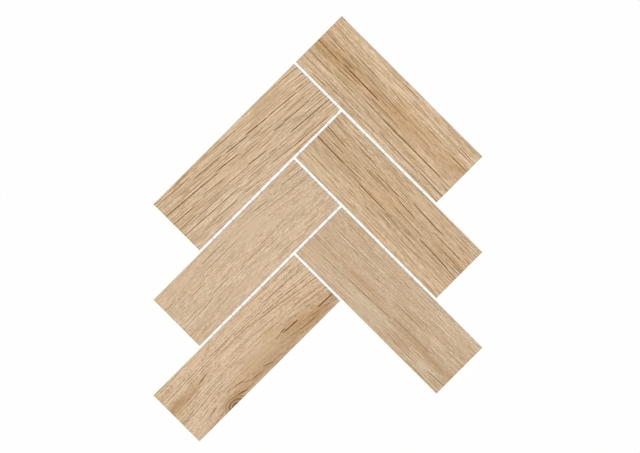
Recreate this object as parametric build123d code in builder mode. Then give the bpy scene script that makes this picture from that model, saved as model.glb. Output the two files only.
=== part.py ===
"""Herringbone mosaic sheet: wood-look porcelain chips laid in chevrons on a trimmed glass-fibre mesh."""

import os
from math import ceil, sqrt

from build123d import *

# Chips: cut from pressed porcelain planks, in millimetres
chip_width = 50.0
chip_length = 153.0  # just under three widths and two joints, so that the stepped edges of two sheets interlock
chip_thickness = 9.5
arris = 0.5  # chamfer that eases the four edges of the face

# Key grooves that the press leaves along the back of a plank
groove_width = 4.0
groove_depth = 0.5
groove_pitch = 10.0

# Laying: a chevron is one right and one left chip, and the chevrons follow each other down the sheet
joint = 2.0  # open joint between neighbouring chips
chevrons = 3

# Backing mesh: flat strands bonded where they cross, glued under the chips and trimmed inside their outline
strands_per_chip = 5  # strands under one chip and its joint, counted across the chip
strand_width = 1.2
mesh_thickness = 0.5
mesh_margin = 7.0  # from the outer edges of the chips to the cut ends of the strands

# Derived sizes
module = chip_width + joint
reach = chip_length + joint
groove_land = groove_pitch - groove_width
groove_count = int((chip_width - groove_land) // groove_pitch)
mesh_pitch = module / strands_per_chip
mesh_opening = mesh_pitch - strand_width
openings_along = ceil(reach / mesh_pitch) + 1

# Directions in plan: +X to the right, +Y towards the tip of the chevrons, chips at 45 degrees to both
up_right = Vector(1, 1, 0).normalized()
down_right = Vector(1, -1, 0).normalized()
# Middle of the whole outline, counted from the joint corner where the first two chips meet
sheet_middle = Vector(module, -2 * (chevrons - 1) * module - reach, 0) / (2 * sqrt(2))


def laying_plane(side, row):
    """Floor plane under the middle of a chip, with x along the chip and out to its free end."""
    if side == "right":
        outward = down_right
        inner_end = up_right * (module / 2 - row * module) + down_right * row * module
    else:
        outward = up_right * -1
        inner_end = up_right * -row * module + down_right * (module / 2 + row * module)
    return Plane(origin=inner_end + outward * (reach / 2) - sheet_middle, x_dir=outward, z_dir=(0, 0, 1))


os.makedirs("parts", exist_ok=True)
laid = {
    f"chip_{side}_{row + 1}": laying_plane(side, row)
    for row in range(chevrons)
    for side in ("right", "left")
}

# Chips: each a cut slab on the mesh, with an eased face and grooves along its back
for name, floor_plane in laid.items():
    back_plane = floor_plane.offset(mesh_thickness)
    with BuildPart() as chip:
        with BuildSketch(back_plane):
            Rectangle(chip_length, chip_width)
        extrude(amount=chip_thickness)
        face_edges = chip.faces().sort_by(Axis.Z)[-1].edges()
        chamfer(face_edges, length=arris)
        with BuildSketch(back_plane):
            with GridLocations(0, groove_pitch, 1, groove_count):
                Rectangle(chip_length, groove_width)
        extrude(amount=groove_depth, mode=Mode.SUBTRACT)
    chip.part.label = name
    export_step(chip.part, f"parts/{name}.step")

# Backing mesh: the outline of the laid chips, drawn in by the margin, less the openings between the strands.
# The joints run along the middle of a row of openings, so that strands only cross them.
with BuildPart() as backing_mesh:
    with BuildSketch():
        with Locations(*[plane.location for plane in laid.values()]):
            Rectangle(reach, module)
        offset(amount=-(joint / 2 + mesh_margin), kind=Kind.INTERSECTION)
        with Locations(*[plane.location for plane in laid.values()]):
            with Locations((-reach / 2, 0)):
                with GridLocations(
                    mesh_pitch,
                    mesh_pitch,
                    openings_along,
                    strands_per_chip + 1,
                    align=(Align.MIN, Align.CENTER),
                ):
                    Rectangle(mesh_opening, mesh_opening, mode=Mode.SUBTRACT)
    extrude(amount=mesh_thickness)
backing_mesh.part.label = "backing_mesh"
export_step(backing_mesh.part, "parts/backing_mesh.step")
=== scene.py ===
from math import ceil, cos, inf, pi, radians, sqrt

import bmesh
import bpy
import numpy as np
from mathutils import Matrix, Vector


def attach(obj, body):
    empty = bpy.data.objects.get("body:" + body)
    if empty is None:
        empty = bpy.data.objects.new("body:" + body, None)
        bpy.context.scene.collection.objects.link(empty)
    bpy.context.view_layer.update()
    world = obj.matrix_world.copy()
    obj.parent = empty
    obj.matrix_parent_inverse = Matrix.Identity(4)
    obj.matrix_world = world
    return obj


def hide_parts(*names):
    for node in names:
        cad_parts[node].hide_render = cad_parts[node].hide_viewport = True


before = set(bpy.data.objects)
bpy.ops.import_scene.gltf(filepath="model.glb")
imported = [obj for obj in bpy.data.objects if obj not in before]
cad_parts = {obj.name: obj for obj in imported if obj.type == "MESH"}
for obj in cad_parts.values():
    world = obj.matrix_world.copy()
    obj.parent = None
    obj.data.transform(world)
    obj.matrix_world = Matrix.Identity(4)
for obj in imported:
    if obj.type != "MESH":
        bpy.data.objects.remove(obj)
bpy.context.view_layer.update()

# Backing mesh
# An open net of white glass-fibre yarn: twisted warp pairs lock a flat ribbon weft, and resin stiffens it.
# It is cut to shape a little inside the outline of the sheet, and the chips are glued on top of it.
# Sizes are in millimetres, and places are counted from the joint corner where the first two chips meet.
millimetre = 0.001
chip_length = 153.0
chip_width = 50.0
joint = 2.0
chevrons = 3
module = chip_width + joint
reach = chip_length + joint
up_right = Vector((1.0, 1.0, 0.0)).normalized()
down_right = Vector((1.0, -1.0, 0.0)).normalized()
upward = Vector((0.0, 0.0, 1.0))
sheet_middle = Vector((module, -2 * (chevrons - 1) * module - reach, 0.0)) / (2 * sqrt(2))
to_sheet = Matrix.Scale(millimetre, 4) @ Matrix.Translation(-sheet_middle)

strands_per_chip = 5
mesh_pitch = module / strands_per_chip
mesh_thickness = 0.5
mesh_margin = 7.0
mesh_trim = joint / 2 + mesh_margin
strands_each_way = ceil(((chevrons - 1) * module + reach) / mesh_pitch)
yarn_sides = 8
yarn_stride = 1.3
weft_width = 1.2
weft_thickness = 0.2
warp_width = 0.56
warp_thickness = 0.14
warp_spread = 0.32
warp_crossing = 0.08
warp_hump = 0.1
# The two yarns of a warp pair: the sense of each one's twist, and where its numbers start
warp_pair = ((1, 100), (-1, 200))

# What each laid chip and half its joints cover, as spans along up_right and along down_right
cells = []
for row in range(chevrons):
    step = row * module
    cells.append(((-step, module - step), (step, step + reach)))
    cells.append(((-step - reach, -step), (step, step + module)))


def strand_ends(place, across, along):
    """Ends of the strand at a place, one trim inside the outline of the chips, or None outside it."""
    low = -inf
    high = inf
    for probe in (place - mesh_trim, place + mesh_trim):
        spans = [cell[along] for cell in cells if cell[across][0] < probe < cell[across][1]]
        if not spans:
            return None
        low = max(low, min(span[0] for span in spans) + mesh_trim)
        high = min(high, max(span[1] for span in spans) - mesh_trim)
    return low, high


def lay_yarn(net, ends, width, thickness, run_axis, side_axis, place, twist, number):
    """Lays one oval yarn between its ends; twist is 1 or -1 for the yarns of a warp pair, 0 for a weft.

    The number tells the yarns apart in the noise of their finish.
    """
    first = len(net.verts)
    length = ends[1] - ends[0]
    bmesh.ops.create_cone(
        net, cap_ends=True, cap_tris=False, segments=yarn_sides, radius1=0.5, radius2=0.5, depth=1.0
    )
    net.verts.ensure_lookup_table()
    lower_ring = [vert for vert in net.verts[first:] if vert.co.z < 0]
    lengthwise = [edge for vert in lower_ring for edge in vert.link_edges if edge.other_vert(vert).co.z > 0]
    bmesh.ops.subdivide_edges(net, edges=lengthwise, cuts=round(length / yarn_stride) - 1)
    net.verts.ensure_lookup_table()
    run_layer = net.verts.layers.float_vector["yarn_run"]
    for vert in net.verts[first:]:
        run = ends[0] + (vert.co.z + 0.5) * length
        turn = cos(pi * (run / mesh_pitch - 0.5))
        sway = twist * warp_spread * turn
        lift = mesh_thickness / 2 + twist * (warp_crossing + warp_hump * turn**2)
        vert[run_layer] = (run, vert.co.x * width, number)
        vert.co = (
            run_axis * run
            + side_axis * (place + sway + vert.co.x * width)
            + upward * (lift + vert.co.y * thickness)
        )


net = bmesh.new()
net.verts.layers.float_vector.new("yarn_run")
for index in range(-strands_each_way, strands_each_way):
    place = (index + 0.5) * mesh_pitch
    weft_ends = strand_ends(place, across=0, along=1)
    if weft_ends:
        lay_yarn(net, weft_ends, weft_width, weft_thickness, down_right, up_right, place, 0, index)
    warp_ends = strand_ends(place, across=1, along=0)
    if warp_ends:
        for twist, first_number in warp_pair:
            number = first_number + index
            lay_yarn(net, warp_ends, warp_width, warp_thickness, up_right, down_right, place, twist, number)
bmesh.ops.transform(net, matrix=to_sheet, verts=net.verts)
bmesh.ops.recalc_face_normals(net, faces=net.faces)
for face in net.faces:
    face.smooth = len(face.verts) == 4
net_mesh = bpy.data.meshes.new("backing_net")
net.to_mesh(net_mesh)
net.free()
backing_net = bpy.data.objects.new("backing_net", net_mesh)
bpy.context.scene.collection.objects.link(backing_net)


def add_node(tree, kind, **settings):
    """Adds a node to a tree and sets its own settings."""
    node = tree.nodes.new(kind)
    for name, value in settings.items():
        setattr(node, name, value)
    return node


def feed(tree, socket, value):
    """Links a socket to an output, or sets it where the value is a plain number or colour."""
    if isinstance(value, bpy.types.NodeSocket):
        tree.links.new(value, socket)
    else:
        socket.default_value = value


def work_out(tree, operation, *values):
    """A Math node on one, two or three values or outputs."""
    node = add_node(tree, "ShaderNodeMath", operation=operation)
    for socket, value in zip(node.inputs, values):
        feed(tree, socket, value)
    return node.outputs["Value"]


def ramp(tree, value, from_span=(0.0, 1.0), to_span=(0.0, 1.0), curve="LINEAR"):
    """A Map Range node that takes a value from one span to another."""
    node = add_node(tree, "ShaderNodeMapRange", interpolation_type=curve)
    feed(tree, node.inputs["Value"], value)
    for end, number in zip(("From Min", "From Max", "To Min", "To Max"), from_span + to_span):
        feed(tree, node.inputs[end], number)
    return node.outputs["Result"]


def stretched_noise(tree, vector, size, detail, roughness):
    """Noise with its own size along each axis of a vector, in the vector's own unit."""
    squeeze = add_node(tree, "ShaderNodeVectorMath", operation="DIVIDE")
    feed(tree, squeeze.inputs[0], vector)
    feed(tree, squeeze.inputs[1], size)
    noise = add_node(tree, "ShaderNodeTexNoise", noise_dimensions="3D")
    feed(tree, noise.inputs["Vector"], squeeze.outputs["Vector"])
    feed(tree, noise.inputs["Scale"], 1.0)
    feed(tree, noise.inputs["Detail"], detail)
    feed(tree, noise.inputs["Roughness"], roughness)
    return noise.outputs["Fac"]


def mix_colours(tree, blend, share, first, second):
    """A colour Mix node on two colours or outputs; a share below 0 goes past the first colour."""
    node = add_node(tree, "ShaderNodeMix", data_type="RGBA", blend_type=blend, clamp_factor=False)
    feed(tree, node.inputs["Factor"], share)
    # The sockets for colours come after those for numbers and vectors, under the same names
    feed(tree, node.inputs[6], first)
    feed(tree, node.inputs[7], second)
    return node.outputs[2]


def raise_bumps(tree, shader, height, size, strength):
    """Bumps on a shader's surface, with the size in millimetres of a height of 1."""
    bump = add_node(tree, "ShaderNodeBump")
    bump.inputs["Distance"].default_value = size * millimetre
    bump.inputs["Strength"].default_value = strength
    feed(tree, bump.inputs["Height"], height)
    feed(tree, shader.inputs["Normal"], bump.outputs["Normal"])


def new_finish(name):
    """A material with its Principled shader."""
    finish = bpy.data.materials.new(name)
    finish.use_nodes = True
    return finish, finish.node_tree, finish.node_tree.nodes["Principled BSDF"]


yarn_white = (0.96, 0.96, 0.95, 1.0)
yarn_shade = (0.87, 0.87, 0.85, 1.0)
filament_size = (4.0, 0.07, 1.0)
filament_bump = 0.03
resin_patch_size = (2.5, 1.2, 1.0)
resin_roughness = (0.35, 0.6)
net_finish, tree, shader = new_finish("resin_coated_glass_yarn")
yarn_run = add_node(tree, "ShaderNodeAttribute", attribute_name="yarn_run").outputs["Vector"]
filaments = stretched_noise(tree, yarn_run, filament_size, detail=2.0, roughness=0.5)
resin = stretched_noise(tree, yarn_run, resin_patch_size, detail=2.0, roughness=0.5)
feed(tree, shader.inputs["Base Color"], mix_colours(tree, "MIX", filaments, yarn_white, yarn_shade))
feed(tree, shader.inputs["Roughness"], ramp(tree, resin, to_span=resin_roughness))
raise_bumps(tree, shader, filaments, filament_bump, strength=0.6)
net_mesh.materials.append(net_finish)
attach(backing_net, "root")
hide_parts("backing_mesh")

# Chips: the shape
# Six porcelain slabs, sawn from pressed planks whose back has key grooves and whose face has a shallow wood
# relief. The edges of the face are eased, and the slabs lie on the net in three chevrons with open joints.
chip_thickness = 9.5
arris = 0.5
groove_width = 4.0
groove_depth = 0.5
groove_pitch = 10.0
groove_count = 4
face_cells_across = 196
face_cells_along = 240
back_height = mesh_thickness
groove_height = back_height + groove_depth
face_height = back_height + chip_thickness
half_length = chip_length / 2
half_width = chip_width / 2
cell_length = (chip_length - 2 * arris) / face_cells_along
# Upward part of a normal above which a surface is the face or one of its eased edges
least_rise = 0.3

blank = bmesh.new()
section = [(arris - half_width, face_height), (half_width - arris, face_height)]
section += [(half_width, face_height - arris), (half_width, back_height)]
for groove in range(groove_count):
    centre = (groove_count - 1 - 2 * groove) * groove_pitch / 2
    near_side = centre + groove_width / 2
    far_side = centre - groove_width / 2
    section += [(near_side, back_height), (near_side, groove_height)]
    section += [(far_side, groove_height), (far_side, back_height)]
section += [(-half_width, back_height), (-half_width, face_height - arris)]
corners = [blank.verts.new((-half_length, y, z)) for y, z in section]
sides = [blank.edges.new((corners[i - 1], corners[i])) for i in range(len(corners))]
face_side = sides[1]
bmesh.ops.subdivide_edges(blank, edges=[face_side], cuts=face_cells_across - 1)
first_end = blank.edges[:]
ring = blank.verts[:] + blank.edges[:]
for count, stride in ((1, arris), (face_cells_along, cell_length), (1, arris)):
    swept = bmesh.ops.spin(
        blank,
        geom=ring,
        cent=(0.0, 0.0, 0.0),
        axis=(1.0, 0.0, 0.0),
        dvec=(stride, 0.0, 0.0),
        angle=0.0,
        steps=count,
        use_merge=False,
        use_duplicate=False,
    )
    ring = swept["geom_last"]
last_end = [item for item in ring if isinstance(item, bmesh.types.BMEdge)]
for end in (first_end, last_end):
    bmesh.ops.contextual_create(blank, geom=end)
for vert in blank.verts:
    if abs(vert.co.x) > half_length - arris / 2:
        vert.co.z = min(vert.co.z, face_height - arris)
bmesh.ops.triangulate(blank, faces=[face for face in blank.faces if len(face.verts) > 4])
bmesh.ops.recalc_face_normals(blank, faces=blank.faces)
blank.normal_update()
for face in blank.faces:
    on_face = face.normal.z > least_rise
    face.smooth = on_face
    face.material_index = 0 if on_face else 1
blank_mesh = bpy.data.meshes.new("chip_blank")
blank.to_mesh(blank_mesh)
blank.free()


def chip_place(side, row):
    """Matrix from a chip's own millimetres, x out to its free end, to its place in the sheet in metres."""
    if side == "right":
        outward = down_right
        upper = up_right
        inner_end = up_right * (module / 2 - row * module) + down_right * row * module
    else:
        outward = -up_right
        upper = down_right
        inner_end = up_right * -row * module + down_right * (module / 2 + row * module)
    turned = Matrix((outward, upper, upward)).transposed().to_4x4()
    return to_sheet @ Matrix.Translation(inner_end + outward * (reach / 2)) @ turned


# Chips: the print
# Each face carries an ink-jet picture of an oak board under a matt glaze, and the relief follows the ink.
# The marks that stand out are set one by one, and finer grain of the same run fills the rest.
# Places are in millimetres along the chip from its inner end and across it from its lower side.

# What a board says
# ground: colour of the bare print.
# slopes: rise of the grain across the chip before and after its turn, and the place along of that turn.
# fan: share by which those slopes grow from the lower side to the upper one.
# growth, pores, ripple, bands: strength of the growth lines, open pores, fine ripple and broad light bands.
# uneven: 0 for growth lines of one strength, and more for a few strong ones among faint ones.
# lines: drawn lines, each with start along, start across, end along, end across and darkness.
# clouds: zones, each with middle along, middle across, half length, half width, light, redness and calm.
# knot: place along, place across and size.
oak_boards = {
    "chip_right_1": {
        "ground": (0.667, 0.48, 0.297),
        "slopes": (-0.004, -0.014, 75.0),
        "fan": 0.0,
        "growth": 0.6,
        "uneven": 1.5,
        "pores": 0.95,
        "ripple": 0.15,
        "bands": 0.5,
        "lines": [
            (-5, 24.4, 24, 24.2, 0.65), (27, 24.9, 67, 24.2, 1.0), (16, 27.8, 37, 27.7, 0.6),
            (5, 32.8, 22, 32.1, 0.65), (-4, 33.8, 8, 32.6, 0.4), (25, 33.2, 30, 33.0, 0.6),
            (5, 34.0, 18, 33.9, 0.35), (25, 36.8, 56, 36.1, 0.4), (44, 30.9, 64, 30.4, 0.45),
            (62, 30.5, 93, 28.4, 0.5), (39, 40.2, 52, 40.2, 0.3), (-3, 41.6, 25, 39.8, 0.4),
            (70, 47.3, 88, 46.7, 0.6), (64, 37.5, 80, 36.0, 0.45), (54, 48.3, 70, 48.0, 0.3),
            (56, 16.7, 84, 16.2, 0.4), (78, 16.3, 142, 15.9, 0.95), (138, 15.6, 158, 15.2, 0.4),
            (60, 21.2, 91, 21.0, 0.6), (25, 19.4, 41, 19.4, 0.5), (28, 22.6, 48, 22.4, 0.5),
            (-3, 21.0, 15, 20.9, 0.35), (-3, 13.7, 28, 13.4, 0.5), (28, 14.7, 50, 14.4, 0.35),
            (50, 12.6, 70, 12.5, 0.3), (25, 5.5, 60, 5.3, 0.45), (60, 5.1, 95, 5.0, 0.3),
            (15, 3.2, 30, 3.0, 0.4), (84, 7.0, 127, 6.2, 0.6), (126, 7.4, 158, 6.2, 0.7),
            (70, 10.5, 81, 10.3, 0.4), (134, 33.2, 158, 33.4, 0.65), (132, 40.4, 150, 40.4, 0.45),
            (85, 43.0, 106, 42.2, 0.4), (105, 26.6, 121, 26.1, 0.3), (124, 10.1, 150, 9.3, 0.35),
            (136, 2.4, 158, 0.6, 0.4), (110, 11.0, 118, 11.2, 0.35), (90, 12.7, 97, 12.7, 0.3),
        ],
        "clouds": [
            (15, 26, 30, 6.5, -1.25, 0.2, 0), (60, 25, 40, 7, -1.1, 0.2, 0),
            (98, 28, 23, 8.5, -0.85, 0.2, 0.3), (8, 22, 12, 3, -0.8, 0.1, 0), (143, 28, 16, 6, -1.1, 0.4, 0),
            (70, 5, 95, 7, 0.35, -0.8, 0), (60, 42, 70, 7, 0.5, 0.0, 0.1), (110, 36, 30, 5, 0.25, 0.4, 0),
            (118, 42, 14, 4, 0.1, 0.0, 0), (85, 33, 14, 3, -0.2, 0.0, 0), (30, 41, 20, 6, 0.35, 0.0, 0),
            (130, 45, 24, 5, 0.3, 0.0, 0), (76, 9, 11, 5, -0.5, 0.0, 0), (20, 8, 22, 5, -0.25, 0.2, 0),
        ],
    },
    "chip_left_1": {
        "ground": (0.678, 0.502, 0.324),
        "slopes": (-0.085, -0.058, 85.0),
        "fan": 0.1,
        "growth": 0.62,
        "uneven": 1.3,
        "pores": 0.92,
        "ripple": 0.15,
        "bands": 0.35,
        "lines": [
            (8, 47.4, 48, 44.2, 0.6), (45, 44.3, 68, 41.7, 0.55), (-4, 38.8, 40, 35.4, 0.85),
            (-4, 29.0, 10, 27.4, 0.7), (10, 28.4, 38, 26.1, 0.75), (37, 27.0, 48, 25.5, 0.75),
            (-3, 18.7, 15, 17.0, 0.5), (14, 16.8, 42, 14.2, 0.7), (43, 14.8, 66, 12.2, 0.85),
            (63, 14.0, 86, 11.5, 0.85), (5, 16.0, 13, 15.0, 0.5), (61, 32.1, 81, 29.9, 0.8),
            (80, 31.0, 101, 29.4, 0.5), (79, 18.9, 102, 16.2, 0.95), (99, 17.9, 158, 13.2, 0.85),
            (89, 10.2, 118, 8.2, 0.7), (98, 37.5, 158, 34.0, 0.65), (100, 24.5, 122, 21.6, 0.6),
            (124, 23.1, 133, 22.0, 0.4), (132, 23.4, 158, 21.9, 0.75), (80, 45.2, 96, 43.5, 0.5),
            (104, 43.3, 132, 41.0, 0.4), (63, 23.3, 82, 22.0, 0.45), (60, 21.3, 72, 20.0, 0.4),
            (45, 21.5, 58, 20.4, 0.45), (10, 23.2, 31, 21.3, 0.4), (104, 30.1, 134, 27.0, 0.4),
            (133, 29.2, 158, 27.9, 0.5), (118, 4.7, 158, 2.7, 0.55), (114, 1.5, 140, 1.4, 0.5),
            (-3, 10.3, 16, 7.6, 0.4), (-3, 14.2, 12, 12.4, 0.35), (-2, 4.4, 16, 1.6, 0.35),
            (-2, 41.0, 2.6, 41.0, 0.5), (93.4, 35.9, 94.6, 35.8, 0.5), (66, 39.5, 88, 37.4, 0.45),
            (54, 28.4, 65, 27.6, 0.5), (110, 11.5, 134, 9.9, 0.45), (77, 10.1, 92, 8.6, 0.4),
            (14, 49.8, 50, 47.8, 0.4), (20, 40.2, 38, 38.9, 0.3),
        ],
        "clouds": [
            (35, 9, 15, 6, -0.6, 0.1, 0.5), (46, 5, 5, 5, -0.5, -0.5, 0.4), (55, 24, 12, 5, -0.6, 0.2, 0.2),
            (30, 48, 25, 3, -0.2, 0.6, 0), (110, 45, 45, 5, 0.3, -0.4, 0.2), (30, 34, 22, 5, 0.5, 0.0, 0),
            (55, 12, 18, 6, -0.2, 0.2, 0), (72, 28, 9, 4, 0.1, 0.2, 0.8), (92, 26, 9, 3, 0.1, 0.1, 0.8),
            (140, 22, 20, 5, -0.15, 0.2, 0), (125, 31, 20, 5, 0.45, 0.0, 0), (95, 33, 9, 4, -0.3, 0.0, 0),
        ],
    },
    "chip_right_2": {
        "ground": (0.636, 0.463, 0.288),
        "slopes": (-0.022, -0.022, 75.0),
        "fan": 0.0,
        "growth": 0.58,
        "uneven": 1.5,
        "pores": 0.86,
        "ripple": 0.15,
        "bands": 0.3,
        "lines": [
            (-5, 23.4, 31, 23.0, 1.0), (30, 22.9, 48, 23.2, 0.55), (-4, 34.7, 22, 32.8, 0.7),
            (-3, 32.1, 5, 32.0, 0.4), (28, 39.8, 47, 39.7, 0.6), (12, 28.4, 24, 28.3, 0.5),
            (45, 31.5, 60, 31.0, 0.5), (46, 33.0, 66, 32.6, 0.55), (50, 35.2, 78, 34.7, 0.6),
            (75, 32.9, 99, 31.6, 0.65), (72, 39.2, 86, 38.5, 0.4), (88, 39.0, 123, 37.7, 0.75),
            (48, 20.0, 79, 19.7, 0.8), (78, 19.9, 86, 19.9, 0.4), (78, 18.7, 97, 17.4, 0.6),
            (99, 17.1, 112, 16.8, 0.4), (112, 23.0, 144, 21.9, 0.9), (142, 21.4, 158, 21.0, 0.65),
            (128, 29.0, 158, 28.1, 0.65), (143, 27.1, 158, 26.9, 0.5), (63, 11.0, 76, 10.8, 0.5),
            (95, 12.6, 120, 11.8, 0.4), (5, 10.2, 30, 10.0, 0.4), (30, 9.5, 37, 9.3, 0.4),
            (80, 27.0, 113, 25.4, 0.4), (-3, 44.4, 8, 43.5, 0.4), (20, 43.2, 36, 42.6, 0.4),
            (115, 34.0, 148, 33.8, 0.4), (73, 15.0, 89, 14.7, 0.4), (52, 16.3, 58, 16.2, 0.35),
            (136, 2.6, 149, 2.0, 0.45), (75, 4.0, 96, 3.6, 0.35), (45, 12.3, 53, 12.0, 0.4),
            (125, 11.0, 131, 10.8, 0.45), (68, 7.0, 74, 6.5, 0.4), (65, 43.2, 80, 42.6, 0.3),
            (55, 47.3, 64, 47.2, 0.3), (100, 20.2, 111, 20.0, 0.4), (130, 46.0, 151, 45.8, 0.35),
            (147, 37.1, 158, 35.8, 0.5),
        ],
        "clouds": [
            (75, 26, 90, 10, -0.6, 0.1, 0), (68, 26, 16, 5, -0.2, 0.7, 0.3), (140, 29, 20, 5, -0.5, 0.0, 0),
            (80, 4, 90, 6, 0.4, 0.5, 0.1), (85, 20, 12, 5, -0.3, -0.2, 0), (26, 34, 28, 5, -0.5, -0.2, 0.1),
            (25, 20, 28, 4, -0.35, 0.1, 0.1), (20, 6, 22, 6, 0.35, -0.4, 0.6), (38, 26, 14, 4, 0.4, -0.1, 0),
            (115, 35, 35, 4, -0.3, 0.3, 0), (95, 42, 18, 4, 0.1, 0.0, 0.7),
            (15, 17, 12, 4, -0.1, -0.2, 0.4), (54, 31, 11, 5, 0.45, 0.0, 0), (72, 13, 15, 8, -0.3, 0.0, 0),
            (143, 19, 14, 4, 0.3, 0.0, 0),
        ],
    },
    "chip_left_2": {
        "ground": (0.648, 0.488, 0.323),
        "slopes": (-0.14, 0.03, 58.0),
        "fan": -0.9,
        "growth": 0.2,
        "uneven": 1.0,
        "pores": 0.42,
        "ripple": 0.18,
        "bands": 0.05,
        "lines": [
            (-4, 10.5, 21, 6.9, 0.5), (-4, 6.3, 16, 4.0, 0.4), (-4, 4.3, 12, 3.4, 0.3),
            (3, 16.8, 33, 13.1, 0.35), (36, 8.0, 52, 6.2, 0.45), (44, 4.1, 62, 3.0, 0.25),
            (74, 13.0, 107, 12.8, 0.35), (80, 7.2, 108, 6.8, 0.4), (117, 19.0, 132, 18.6, 0.35),
            (47, 28.2, 67, 28.2, 0.3), (99, 28.8, 116, 28.6, 0.35), (130, 29.2, 151, 29.4, 0.25),
            (68, 35.0, 86, 34.0, 0.25), (60, 30.0, 84, 29.6, 0.25), (4, 38.0, 26, 37.3, 0.25),
            (-3, 41.7, 10, 40.3, 0.25), (100, 34.0, 116, 33.6, 0.25), (75.5, 25.5, 80.5, 25.3, 0.35),
            (57, 23.3, 61.5, 22.8, 0.35), (104, 38.0, 126, 40.5, 0.25), (127, 41.6, 136, 42.0, 0.25),
            (133, 40.6, 158, 40.1, 0.25), (119, 31.0, 138, 33.0, 0.25), (43, 44.5, 58, 43.8, 0.25),
            (50, 46.0, 66, 44.5, 0.25), (100, 43.0, 107, 42.6, 0.25), (22, 45.5, 34, 45.2, 0.25),
            (141, 12.2, 158, 12.9, 0.25), (135, 24.8, 144, 24.4, 0.25), (-3, 24.2, 6, 25.0, 0.25),
        ],
        "clouds": [
            (62, 14, 13, 8, 0.0, 0.0, 1.0), (46, 22, 9, 3, 0.1, 0.0, 0.8), (33, 23, 4, 2, -0.3, 0.6, 0.3),
            (62, 45, 60, 6, 0.0, 0.6, 0), (65, 4, 50, 2.5, 0.05, 0.25, 0.3),
            (100, 42, 18, 3, -0.1, 0.1, 0.7), (125, 6, 15, 4, 0.05, 0.0, 0.8),
            (125, 19, 10, 4, -0.2, 0.2, 0.2), (10, 8, 16, 5, -0.25, 0.2, 0),
        ],
    },
    "chip_right_3": {
        "ground": (0.591, 0.437, 0.28),
        "slopes": (0.0, 0.03, 40.0),
        "fan": 0.0,
        "growth": 0.44,
        "uneven": 1.2,
        "pores": 0.4,
        "ripple": 0.18,
        "bands": 0.7,
        "lines": [
            (14, 12.9, 42, 13.9, 0.3), (40, 14.2, 69, 15.2, 0.4), (67, 15.3, 87, 15.9, 0.25),
            (87, 17.8, 128, 18.4, 0.3), (135, 7.2, 158, 8.4, 0.4), (8, 19.3, 20, 18.8, 0.25),
            (8, 44.7, 21, 44.0, 0.25), (25, 43.8, 41, 43.2, 0.25), (10, 35.3, 45, 35.2, 0.3),
            (36, 7.2, 54, 7.2, 0.25), (80, 27.0, 111, 27.0, 0.25), (99, 5.2, 126, 4.9, 0.25),
            (60, 38.5, 67, 38.5, 0.25), (76, 42.4, 83, 42.4, 0.25), (110, 43.0, 121, 42.8, 0.25),
            (79, 32.3, 85, 32.5, 0.25), (75, 36.0, 82, 38.0, 0.2), (23, 23.8, 31, 23.8, 0.25),
            (10, 23.7, 17, 23.5, 0.25), (134, 28.5, 158, 30.2, 0.25), (125, 35.0, 141, 33.5, 0.2),
            (95, 10.0, 113, 9.8, 0.2), (-3, 20.0, 8, 20.0, 0.25), (118, 2.2, 140, 1.4, 0.25),
        ],
        "clouds": [
            (60, 19.6, 32, 3, -1.2, 0.1, 0.5), (55, 21, 16, 3, -0.4, 0.35, 0.5),
            (126, 15.5, 30, 3.6, -1.3, -0.2, 0.2), (103, 8, 9, 4, -1.1, 0.1, 0.2),
            (98, 27, 14, 4, -0.9, 0.0, 0.2), (16, 25, 18, 4, -0.6, 0.0, 0.5), (15, 43, 25, 8, -0.25, 0.5, 0),
            (60, 8, 32, 6, 0.45, -0.5, 0.7), (14, 9, 14, 7, 0.05, 0.15, 0.9),
            (124, 42, 18, 4, 0.65, 0.0, 0.5), (85, 32, 25, 4, -0.15, -0.2, 0.3),
            (8, 33, 9, 6, -0.1, 0.45, 0.6), (130, 7, 8, 4, 0.5, -0.5, 0.8), (148, 8, 9, 4, -0.6, -0.2, 0.1),
            (70, 44, 25, 4, -0.2, 0.0, 0.2), (25, 36, 30, 6, 0.15, -0.1, 0.2),
        ],
    },
    "chip_left_3": {
        "ground": (0.707, 0.518, 0.34),
        "slopes": (-0.15, 0.035, 66.0),
        "fan": 1.1,
        "growth": 0.78,
        "uneven": 0.5,
        "pores": 0.78,
        "ripple": 0.36,
        "bands": 0.3,
        "lines": [
            (-5, 42.2, 16, 41.4, 1.3), (33, 37.4, 49, 36.5, 1.1), (44, 35.1, 50, 35.0, 0.9),
            (49, 35.0, 56, 37.0, 0.5), (-4, 24.8, 16, 21.9, 0.6), (15, 22.0, 38, 18.0, 0.55),
            (36, 18.3, 61, 15.3, 0.6), (-4, 35.8, 30, 30.2, 0.4), (-4, 31.7, 30, 27.4, 0.35),
            (-4, 18.5, 22, 15.5, 0.4), (-4, 12.4, 46, 8.6, 0.4), (94, 41.5, 107, 38.9, 0.7),
            (106, 39.0, 113, 37.9, 0.4), (69, 47.0, 78, 43.8, 0.75), (82, 45.6, 92, 45.0, 0.55),
            (91, 45.0, 98, 41.6, 0.65), (98, 48.1, 107, 45.4, 1.3), (125, 40.8, 139, 43.4, 0.55),
            (111, 17.0, 123, 18.6, 0.65), (111, 17.2, 116, 15.3, 0.4), (85, 13.5, 90.5, 13.3, 0.45),
            (84, 11.4, 90.5, 11.2, 0.45), (79, 10.3, 96, 10.2, 0.4), (84, 42.5, 88.5, 42.5, 0.4),
            (139, 17.0, 158, 17.0, 0.35), (17, 45.6, 39, 43.9, 0.5), (121, 37.0, 125, 37.0, 0.45),
            (104, 26.6, 106.5, 26.4, 0.6), (76, 23.8, 86, 25.2, 0.35), (4, 45.6, 14, 44.6, 0.4),
            (120, 20.8, 133, 20.4, 0.35), (62, 12.2, 78, 12.0, 0.35), (28, 33.8, 34, 34.2, 0.4),
        ],
        "clouds": [
            (8, 45, 22, 5, -1.9, -0.2, 0.2), (32, 42, 16, 7, -1.4, -0.2, 0.1),
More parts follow.
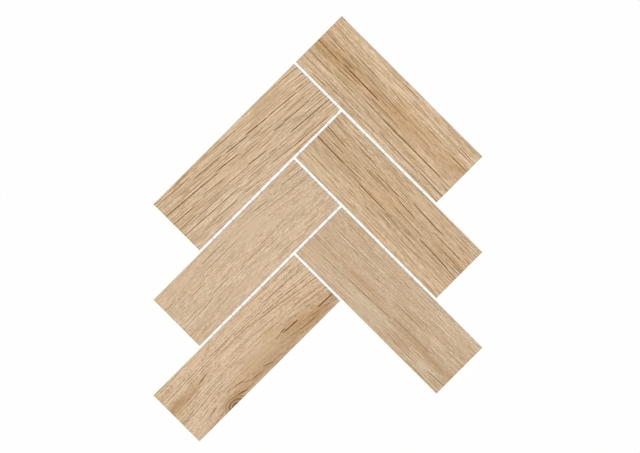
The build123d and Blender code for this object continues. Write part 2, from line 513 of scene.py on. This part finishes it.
            (40, 36.5, 12, 2.5, -1.2, 0.1, 0.1), (58, 47, 20, 4, -1.1, -0.4, 0.2),
            (80, 46.5, 16, 4, -1.0, -0.3, 0.3), (74, 37, 22, 7, -1.4, -0.7, 1.0),
            (98, 46, 12, 5, -0.8, 0.2, 0.1), (114, 49, 9, 5, -1.2, -0.2, 0),
            (112, 44, 14, 4, -0.5, 0.1, 0), (104.5, 26.5, 3, 2, -0.9, 0.0, 0),
            (149, 20.8, 16, 4.0, -1.8, 0.0, 0.3), (138, 18.3, 17, 2.2, -1.5, -0.2, 0.3),
            (120, 17.3, 8, 1.3, -0.9, 0.0, 0.2),
            (72, 11, 80, 13, 0.5, 0.1, 0), (112, 28, 28, 6, 0.5, 0.0, 0.1),
            (142, 39, 16, 7, 0.45, -0.3, 0.2), (20, 20, 25, 8, 0.2, 0.25, 0), (97, 20, 12, 5, 0.35, 0.0, 0),
            (120, 8, 14, 5, 0.4, 0.0, 0), (10, 8, 12, 5, 0.3, 0.0, 0), (54, 8, 10, 5, -0.35, 0.0, 0),
            (76, 44, 9, 4, -0.3, 0.0, 0),
        ],
        "knot": (113.5, 51.2, 7.4),
    },
}

noise_cells = 256


def eased(share):
    """A smooth step from 0 to 1."""
    return share * share * (3 - 2 * share)


def bell(offset):
    """A soft mark: 1 in its middle, fading out on both sides."""
    return np.exp(-(offset**2))


def drawn_out_noise(along, across, length, width, seed):
    """Smooth values from -1 to 1 in patches of that length and width, each row shifted by its own draw."""
    draws = np.random.default_rng(seed)
    heights = draws.uniform(-1.0, 1.0, (noise_cells, noise_cells))
    shifts = draws.uniform(0.0, noise_cells, noise_cells)
    place_across = across / width
    lower = np.floor(place_across).astype(int)
    upper_share = eased(place_across - lower)
    total = np.zeros_like(along)
    for step, share in ((0, 1 - upper_share), (1, upper_share)):
        lane = (lower + step) % noise_cells
        place_along = along / length + shifts[lane]
        cell = np.floor(place_along).astype(int)
        blend = eased(place_along - cell)
        here = heights[lane, cell % noise_cells]
        onward = heights[lane, (cell + 1) % noise_cells]
        total += share * (here * (1 - blend) + onward * blend)
    return total


def layered_noise(along, across, layers, seed):
    """Noise in layers, each with its strength, length, width and what it adds to the seed."""
    total = np.zeros_like(along)
    for strength, length, width, own_seed in layers:
        total += strength * drawn_out_noise(along, across, length, width, seed + own_seed)
    return total


grain_bend = 12.0
grain_sway = [(0.35, 50.0, 9.0, 0)]
knot_reach_along = 2.2
knot_reach_across = 1.6
knot_push = 0.8


def grain_across(board, along, across, seed):
    """Place across the grain: the same all along one line of the grain, as it leans, fans and swerves."""
    first_slope, last_slope, turn = board["slopes"]
    past_turn = np.logaddexp(0.0, (along - turn) / grain_bend) - np.logaddexp(0.0, -turn / grain_bend)
    drift = first_slope * along + (last_slope - first_slope) * (grain_bend * past_turn)
    drift = drift * (1 + board["fan"] * (across / chip_width - 0.5))
    drift = drift + layered_noise(along, across, grain_sway, seed)
    if "knot" in board:
        knot_along, knot_across, knot_size = board["knot"]
        beside = bell((along - knot_along) / (knot_reach_along * knot_size))
        inward = np.exp(-np.abs(knot_across - across) / (knot_reach_across * knot_size))
        drift = drift - knot_size * knot_push * beside * inward
    return across - drift


line_wander = [(0.15, 20.0, 1.0, 0)]
line_pressure = 0.95
line_pressure_swings = [(0.2, 7.0, 1.0, 1), (0.2, 1.8, 1.0, 50)]
line_fade_length = 4.0
line_half_width = 0.28
line_widening = 0.1
line_ink = 2.4
line_rim_ink = 0.3
line_rim_offset = 0.95
line_rim_half_width = 0.3


def drawn_line(line, along, across, seed):
    """Ink of one drawn line, thinning out at both ends, with a slight wander and a pale rim."""
    start_along, start_across, end_along, end_across, darkness = line
    one_lane = np.zeros_like(along)
    length = end_along - start_along
    share = (along - start_along) / length
    middle = start_across + (end_across - start_across) * share
    middle = middle + layered_noise(along, one_lane, line_wander, seed)
    fade = np.clip(np.minimum(share, 1 - share) * length / line_fade_length, 0.0, 1.0)
    pressure = line_pressure + layered_noise(along, one_lane, line_pressure_swings, seed)
    offset = np.abs(across - middle)
    stroke = line_ink * bell(offset / (line_half_width + line_widening * darkness))
    stroke -= line_rim_ink * bell((offset - line_rim_offset) / line_rim_half_width)
    return darkness * pressure * np.sqrt(fade) * stroke


growth_shift = 0.4
growth_pressure = 0.55
growth_pressure_swings = [(0.9, 26.0, 1.0, 1), (0.3, 2.2, 1.0, 40)]
growth_top_pressure = 1.3
growth_half_width = 0.26
growth_rim_ink = 0.28
growth_rim_offset = 0.75
growth_rim_half_width = 0.3


def growth_lines(along, lane, spacing, uneven, seed):
    """Ink of the thin growth lines along the grain, unevenly spaced, each fading in and out on its way."""
    draws = np.random.default_rng(seed)
    shifts = draws.uniform(-growth_shift, growth_shift, noise_cells)
    weights = draws.uniform(0.0, 1.0, noise_cells) ** uneven
    nearest = np.round(lane / spacing).astype(int)
    total = np.zeros_like(along)
    for step in (-1, 0, 1):
        number = nearest + step
        offset = np.abs(lane - (number + shifts[number % noise_cells]) * spacing)
        pressure = growth_pressure + layered_noise(along, number * 1.0, growth_pressure_swings, seed)
        pressure = np.clip(pressure, 0.0, growth_top_pressure)
        stroke = bell(offset / growth_half_width)
        stroke -= growth_rim_ink * bell((offset - growth_rim_offset) / growth_rim_half_width)
        total += weights[number % noise_cells] * pressure * stroke
    return total


ripple_spacing = 1.3
ripple_sway = [(1.2, 60.0, 7.0, 13)]
ripple_strength = 0.6
ripple_swell = [(0.5, 24.0, 3.0, 14)]
ripple_grit = [(0.8, 6.0, 0.45, 15), (1.2, 1.3, 0.45, 16)]


def fine_ripple(along, lane, seed):
    """Ink of the fine ripple between the growth lines, above and below none."""
    crest = lane + layered_noise(along, lane, ripple_sway, seed)
    swell = ripple_strength + layered_noise(along, lane, ripple_swell, seed)
    return swell * np.cos(2 * pi * crest / ripple_spacing) + layered_noise(along, lane, ripple_grit, seed)


pore_count = 1400
pore_overhang_along = 5.0
pore_overhang_across = 25.0
shortest_pore = 1.2
usual_pore = 4.5
faintest_pore = 0.2
pore_half_width = 0.2
pore_reach_along = 2.5
pore_reach_across = 1.0


def open_pores(along, lane, seed):
    """Ink of the open pores, short dashes that are scattered over the board along its grain."""
    draws = np.random.default_rng(seed)
    pores = np.zeros_like(along)
    for _ in range(pore_count):
        pore_along = draws.uniform(-pore_overhang_along, chip_length + pore_overhang_along)
        pore_lane = draws.uniform(-pore_overhang_across, chip_width + pore_overhang_across)
        half = shortest_pore + draws.exponential(usual_pore)
        depth = draws.uniform(faintest_pore, 1.0)
        near_along = np.abs(along - pore_along) < pore_reach_along * half
        near = np.nonzero(near_along & (np.abs(lane - pore_lane) < pore_reach_across))[0]
        dash = np.exp(-(((along[near] - pore_along) / half) ** 4))
        dash = dash * bell((lane[near] - pore_lane) / pore_half_width)
        pores[near] = np.maximum(pores[near], depth * dash)
    return pores


ring_stretch = 1.3
ring_wobble = [(0.5, 3.0, 3.0, 0)]
ring_spacing = 2.4
ring_ink = 0.85
ring_contrast = 0.7


def knot_rings(knot, along, across, seed):
    """Ink of a knot's rings, longer along the chip than across it."""
    knot_along, knot_across, knot_size = knot
    ring = np.hypot((along - knot_along) / ring_stretch, across - knot_across)
    ring = ring + layered_noise(along, across, ring_wobble, seed)
    rings = ring_ink + ring_contrast * np.cos(2 * pi * ring / ring_spacing)
    return np.exp(-((ring / knot_size) ** 4)) * rings


light_bands = [(0.35, 90.0, 5.0, 2), (0.3, 45.0, 2.2, 3)]
red_zones = [(0.5, 22.0, 6.0, 4)]
cloud_falloff = 0.8
calm_effect = 0.8
streaks = [(0.06, 70.0, 1.6, 5), (0.1, 36.0, 0.75, 6), (0.14, 14.0, 0.5, 7)]
fine_growth = 1.1
fine_growth_spacing = 1.3
coarse_growth = 0.35
coarse_growth_spacing = 4.6
bare_ink = 0.06
thinnest_ink = -0.35
thickest_ink = 2.2


def oak_picture(board, along, across, seed):
    """Ink, light, redness, strength of flecks and places across the grain of a board at points of a face."""
    # Each kind of mark draws from a seed of its own, counted from the board's seed
    lane = grain_across(board, along, across, seed)
    light = board["bands"] * layered_noise(along, lane, light_bands, seed)
    redness = layered_noise(along, lane, red_zones, seed)
    calm = np.zeros_like(along)
    for middle_along, middle_across, long_half, wide_half, lift, red, quiet in board["clouds"]:
        reach_along = (along - middle_along) / long_half
        reach_across = (across - middle_across) / wide_half
        cover = np.exp(-(reach_along**2 + reach_across**2) * cloud_falloff)
        light += lift * cover
        redness += red * cover
        calm = np.maximum(calm, quiet * cover)
    lively = 1 - calm_effect * calm
    uneven = board["uneven"]
    ink = layered_noise(along, lane, streaks, seed)
    ink += fine_growth * growth_lines(along, lane, fine_growth_spacing, uneven, seed + 8)
    ink += coarse_growth * uneven * growth_lines(along, lane, coarse_growth_spacing, uneven, seed + 11)
    ink = board["growth"] * lively * (ink - bare_ink)
    ink += board["ripple"] * lively * fine_ripple(along, lane, seed)
    ink += board["pores"] * lively * open_pores(along, lane, seed + 9)
    for number, line in enumerate(board["lines"]):
        stroke = drawn_line(line, along, across, seed + 100 + 2 * number)
        ink = np.where(stroke > 0, np.maximum(ink, stroke), ink + stroke)
    if "knot" in board:
        ink = np.maximum(ink, knot_rings(board["knot"], along, across, seed + 10))
    return np.clip(ink, thinnest_ink, thickest_ink), light, redness, board["pores"] * lively, lane


fibre_size = (9.0, 0.28, 1.0)
fibre_contrast = 0.34
fibre_roughness = 0.2
fleck_size = (5.0, 0.27, 1.0)
fleck_threshold = 0.57
fleck_ink_strength = 2.6
dot_size = (0.12, 0.12, 1.0)
dot_contrast = 0.1
light_colour = (0.1, 0.15, 0.21)
grey_tint = (0.965, 1.0, 1.06, 1.0)
warm_tint = (1.035, 0.985, 0.965, 1.0)
glaze_roughness = 0.62
oak_print = bpy.data.node_groups.new("oak_print", "ShaderNodeTree")
for name, in_out, kind in (
    ("Grain", "INPUT", "NodeSocketVector"),
    ("Ink", "INPUT", "NodeSocketFloat"),
    ("Light", "INPUT", "NodeSocketFloat"),
    ("Redness", "INPUT", "NodeSocketFloat"),
    ("Flecks", "INPUT", "NodeSocketFloat"),
    ("Ground", "INPUT", "NodeSocketColor"),
    ("Ink Filter", "INPUT", "NodeSocketColor"),
    ("Color", "OUTPUT", "NodeSocketColor"),
    ("Roughness", "OUTPUT", "NodeSocketFloat"),
    ("Height", "OUTPUT", "NodeSocketFloat"),
):
    oak_print.interface.new_socket(name, in_out=in_out, socket_type=kind)
given = add_node(oak_print, "NodeGroupInput").outputs
made = add_node(oak_print, "NodeGroupOutput").inputs
fibres = stretched_noise(oak_print, given["Grain"], fibre_size, detail=2.0, roughness=0.55)
flecks = stretched_noise(oak_print, given["Grain"], fleck_size, detail=1.0, roughness=0.5)
dots = stretched_noise(oak_print, given["Grain"], dot_size, detail=1.0, roughness=0.5)
bands = add_node(oak_print, "ShaderNodeVectorMath", operation="MULTIPLY_ADD")
feed(oak_print, bands.inputs[0], given["Light"])
feed(oak_print, bands.inputs[1], light_colour)
feed(oak_print, bands.inputs[2], (1.0, 1.0, 1.0))
shade = 1.0
for texture, contrast in ((fibres, fibre_contrast), (dots, dot_contrast)):
    around_none = work_out(oak_print, "SUBTRACT", texture, 0.5)
    shade = work_out(oak_print, "MULTIPLY_ADD", around_none, contrast, shade)
fleck_ink = work_out(oak_print, "MAXIMUM", work_out(oak_print, "SUBTRACT", flecks, fleck_threshold), 0.0)
fleck_ink = work_out(oak_print, "MULTIPLY", fleck_ink, fleck_ink_strength)
fleck_ink = work_out(oak_print, "MULTIPLY", fleck_ink, given["Flecks"])
banded = mix_colours(oak_print, "MULTIPLY", 1.0, given["Ground"], bands.outputs["Vector"])
shaded = add_node(oak_print, "ShaderNodeVectorMath", operation="SCALE")
feed(oak_print, shaded.inputs[0], banded)
feed(oak_print, shaded.inputs["Scale"], shade)
warm_share = work_out(oak_print, "MULTIPLY_ADD", given["Redness"], 0.5, 0.5)
tint = mix_colours(oak_print, "MIX", warm_share, grey_tint, warm_tint)
tinted = mix_colours(oak_print, "MULTIPLY", 1.0, shaded.outputs["Vector"], tint)
all_ink = work_out(oak_print, "ADD", given["Ink"], fleck_ink)
let_through = add_node(oak_print, "ShaderNodeSeparateColor")
feed(oak_print, let_through.inputs["Color"], given["Ink Filter"])
soaked = add_node(oak_print, "ShaderNodeCombineColor")
for channel in ("Red", "Green", "Blue"):
    passed = work_out(oak_print, "POWER", let_through.outputs[channel], all_ink)
    feed(oak_print, soaked.inputs[channel], passed)
feed(oak_print, made["Color"], mix_colours(oak_print, "MULTIPLY", 1.0, tinted, soaked.outputs["Color"]))
dulled = work_out(oak_print, "MULTIPLY_ADD", fibres, fibre_roughness, glaze_roughness)
feed(oak_print, made["Roughness"], dulled)
feed(oak_print, made["Height"], work_out(oak_print, "SUBTRACT", fibres, fleck_ink))

# Chips: the sawn sides and the back
# Below the glaze the slab is fired porcelain: a pale beige body with fine specks and the marks of the saw,
# a thin white engobe under the glaze, and kiln wash left on the back.
body_shade = (0.66, 0.57, 0.45, 1.0)
body_light = (0.74, 0.66, 0.54, 1.0)
body_cloud_size = (14.0, 14.0, 14.0)
body_roughness = 0.72
grit_size = (0.35, 0.35, 0.35)
grit_roughness = 0.2
speck_colour = (0.36, 0.28, 0.2, 1.0)
speck_threshold = 0.62
speck_strength = 3.0
saw_mark_size = (30.0, 30.0, 0.35)
saw_mark_bump = 0.05
engobe_colour = (0.84, 0.81, 0.75, 1.0)
engobe_thickness = 0.3
engobe_blur = 0.15
engobe_bottom = face_height - arris - engobe_thickness
engobe_span = (engobe_bottom, engobe_bottom + engobe_blur)
wash_colour = (0.88, 0.87, 0.83, 1.0)
wash_span = (0.2, -0.2)
# How far the lower edge of the engobe and the upper edge of the wash wander
engobe_waver = 0.2
wash_waver = -1.2
porcelain_specular = 0.3
body_finish, tree, shader = new_finish("porcelain_body")
in_millimetres = add_node(tree, "ShaderNodeVectorMath", operation="SCALE")
feed(tree, in_millimetres.inputs[0], add_node(tree, "ShaderNodeTexCoord").outputs["Object"])
feed(tree, in_millimetres.inputs["Scale"], 1 / millimetre)
spot = in_millimetres.outputs["Vector"]
spot_parts = add_node(tree, "ShaderNodeSeparateXYZ")
feed(tree, spot_parts.inputs[0], spot)
height = spot_parts.outputs["Z"]
cloudy = stretched_noise(tree, spot, body_cloud_size, detail=3.0, roughness=0.6)
grit = stretched_noise(tree, spot, grit_size, detail=1.0, roughness=0.5)
saw_marks = stretched_noise(tree, spot, saw_mark_size, detail=2.0, roughness=0.6)
specks = work_out(tree, "MAXIMUM", work_out(tree, "SUBTRACT", grit, speck_threshold), 0.0)
specks = work_out(tree, "MULTIPLY", specks, speck_strength)
engobe = work_out(tree, "MULTIPLY_ADD", cloudy, engobe_waver, height)
engobe = ramp(tree, engobe, from_span=engobe_span, curve="SMOOTHSTEP")
wash = work_out(tree, "MULTIPLY_ADD", cloudy, wash_waver, height)
wash = ramp(tree, wash, from_span=wash_span, curve="SMOOTHSTEP")
body = mix_colours(tree, "MIX", cloudy, body_shade, body_light)
for share, colour in ((specks, speck_colour), (engobe, engobe_colour), (wash, wash_colour)):
    body = mix_colours(tree, "MIX", share, body, colour)
feed(tree, shader.inputs["Base Color"], body)
feed(tree, shader.inputs["Roughness"], work_out(tree, "MULTIPLY_ADD", grit, grit_roughness, body_roughness))
shader.inputs["Specular IOR Level"].default_value = porcelain_specular
raise_bumps(tree, shader, work_out(tree, "ADD", saw_marks, grit), saw_mark_bump, strength=0.5)

# Chips: laid in order
# The chevrons follow each other down the sheet, right chip first, each glued to the net by its back.
# Each chip has its own picture: its face is sunk by the ink, and the print reads the same ink.
brown_ink_filter = (0.47, 0.405, 0.295, 1.0)
line_depth = 0.13
fibre_bump = 0.04
# How far apart the boards' seeds are, and their places in the shaders' noise
seed_stride = 1000
noise_stride = 50.0
for number, (name, board) in enumerate(oak_boards.items()):
    side = name.split("_")[1]
    row = int(name.split("_")[2]) - 1
    mesh = blank_mesh.copy()
    mesh.name = name + "_face_up"
    points = np.empty(len(mesh.vertices) * 3)
    mesh.vertices.foreach_get("co", points)
    points = points.reshape(-1, 3)
    along = points[:, 0] + half_length
    across = points[:, 1] + half_width
    ink, light, redness, fleck_strength, lane = oak_picture(board, along, across, seed_stride * (number + 1))
    on_face = points[:, 2] > face_height - arris / 2
    points[:, 2] -= np.where(on_face, line_depth * (ink - thinnest_ink), 0.0)
    mesh.vertices.foreach_set("co", points.ravel())
    mesh.transform(chip_place(side, row))
    grain = np.stack((along, lane, np.full_like(along, noise_stride * number)), axis=1)
    mesh.attributes.new("grain", "FLOAT_VECTOR", "POINT").data.foreach_set("vector", grain.ravel())
    for label, values in (("ink", ink), ("light", light), ("redness", redness), ("flecks", fleck_strength)):
        mesh.attributes.new(label, "FLOAT", "POINT").data.foreach_set("value", values)
    mesh.update()

    print_finish, tree, shader = new_finish("oak_print_" + side + "_" + str(row + 1))
    picture = add_node(tree, "ShaderNodeGroup", node_tree=oak_print)
    for socket, label, output in (
        ("Grain", "grain", "Vector"),
        ("Ink", "ink", "Fac"),
        ("Light", "light", "Fac"),
        ("Redness", "redness", "Fac"),
        ("Flecks", "flecks", "Fac"),
    ):
        reader = add_node(tree, "ShaderNodeAttribute", attribute_name=label)
        feed(tree, picture.inputs[socket], reader.outputs[output])
    feed(tree, picture.inputs["Ground"], (*board["ground"], 1.0))
    feed(tree, picture.inputs["Ink Filter"], brown_ink_filter)
    feed(tree, shader.inputs["Base Color"], picture.outputs["Color"])
    feed(tree, shader.inputs["Roughness"], picture.outputs["Roughness"])
    shader.inputs["Specular IOR Level"].default_value = porcelain_specular
    raise_bumps(tree, shader, picture.outputs["Height"], fibre_bump, strength=0.5)
    mesh.materials.append(print_finish)
    mesh.materials.append(body_finish)

    laid_chip = bpy.data.objects.new("laid_" + name, mesh)
    bpy.context.scene.collection.objects.link(laid_chip)
    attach(laid_chip, "root")
    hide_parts(name)

# Studio
# The sheet lies on a white light table under one soft lamp straight above and an even white surround, so
# that a colour comes out as it is written. The camera looks straight down, square to the sheet.
# Lengths are in metres.
lamp_share = 0.7
lamp_angle = radians(7.0)
lamp_height = 2.0
floor_half = 3.0
floor_drop = 0.0005
floor_paint = (0.9, 0.9, 0.9, 1.0)
# Share of the floor's light that is its own, as it lights the sheet and as it is seen
floor_glow = (0.3, 0.92)
studio_white = (1.0, 1.0, 1.0, 1.0)
view_width = 0.4927
view_middle = (0.0016, 0.0017)
camera_height = 1.0
floor_bm = bmesh.new()
bmesh.ops.create_grid(floor_bm, x_segments=8, y_segments=8, size=floor_half)
bmesh.ops.translate(floor_bm, verts=floor_bm.verts, vec=(0.0, 0.0, -floor_drop))
floor_mesh = bpy.data.meshes.new("studio_floor")
floor_bm.to_mesh(floor_mesh)
floor_bm.free()
floor = bpy.data.objects.new("studio_floor", floor_mesh)
bpy.context.scene.collection.objects.link(floor)


def seen_directly(tree):
    """1 for rays from the camera and for mirrored or refracted ones, else 0."""
    rays = add_node(tree, "ShaderNodeLightPath").outputs
    seen = work_out(tree, "MAXIMUM", rays["Is Camera Ray"], rays["Is Glossy Ray"])
    return work_out(tree, "MAXIMUM", seen, rays["Is Transmission Ray"])


floor_finish = bpy.data.materials.new("white_floor")
floor_finish.use_nodes = True
tree = floor_finish.node_tree
tree.nodes.clear()
paint = add_node(tree, "ShaderNodeBsdfDiffuse")
paint.inputs["Color"].default_value = floor_paint
glow = add_node(tree, "ShaderNodeEmission")
glow.inputs["Color"].default_value = studio_white
lit_floor = add_node(tree, "ShaderNodeMixShader")
feed(tree, lit_floor.inputs[0], ramp(tree, seen_directly(tree), to_span=floor_glow))
feed(tree, lit_floor.inputs[1], paint.outputs["BSDF"])
feed(tree, lit_floor.inputs[2], glow.outputs["Emission"])
clear_from_below = add_node(tree, "ShaderNodeMixShader")
feed(tree, clear_from_below.inputs[0], add_node(tree, "ShaderNodeNewGeometry").outputs["Backfacing"])
feed(tree, clear_from_below.inputs[1], lit_floor.outputs["Shader"])
feed(tree, clear_from_below.inputs[2], add_node(tree, "ShaderNodeBsdfTransparent").outputs["BSDF"])
surface = add_node(tree, "ShaderNodeOutputMaterial")
feed(tree, surface.inputs["Surface"], clear_from_below.outputs["Shader"])
floor_mesh.materials.append(floor_finish)

surround = bpy.data.worlds.new("white_surround")
bpy.context.scene.world = surround
surround.use_nodes = True
tree = surround.node_tree
sky = tree.nodes["Background"]
sky.inputs["Color"].default_value = studio_white
feed(tree, sky.inputs["Strength"], ramp(tree, seen_directly(tree), to_span=(1 - lamp_share, 1.0)))

lamp_data = bpy.data.lights.new("overhead_lamp", "SUN")
lamp_data.energy = lamp_share * pi
lamp_data.angle = lamp_angle
lamp = bpy.data.objects.new("overhead_lamp", lamp_data)
lamp.location = (0.0, 0.0, lamp_height)
bpy.context.scene.collection.objects.link(lamp)

camera_data = bpy.data.cameras.new("camera")
camera_data.type = "ORTHO"
camera_data.ortho_scale = view_width
camera = bpy.data.objects.new("camera", camera_data)
camera.location = (*view_middle, camera_height)
bpy.context.scene.collection.objects.link(camera)
bpy.context.scene.camera = camera
bpy.context.scene.view_settings.view_transform = "Standard"
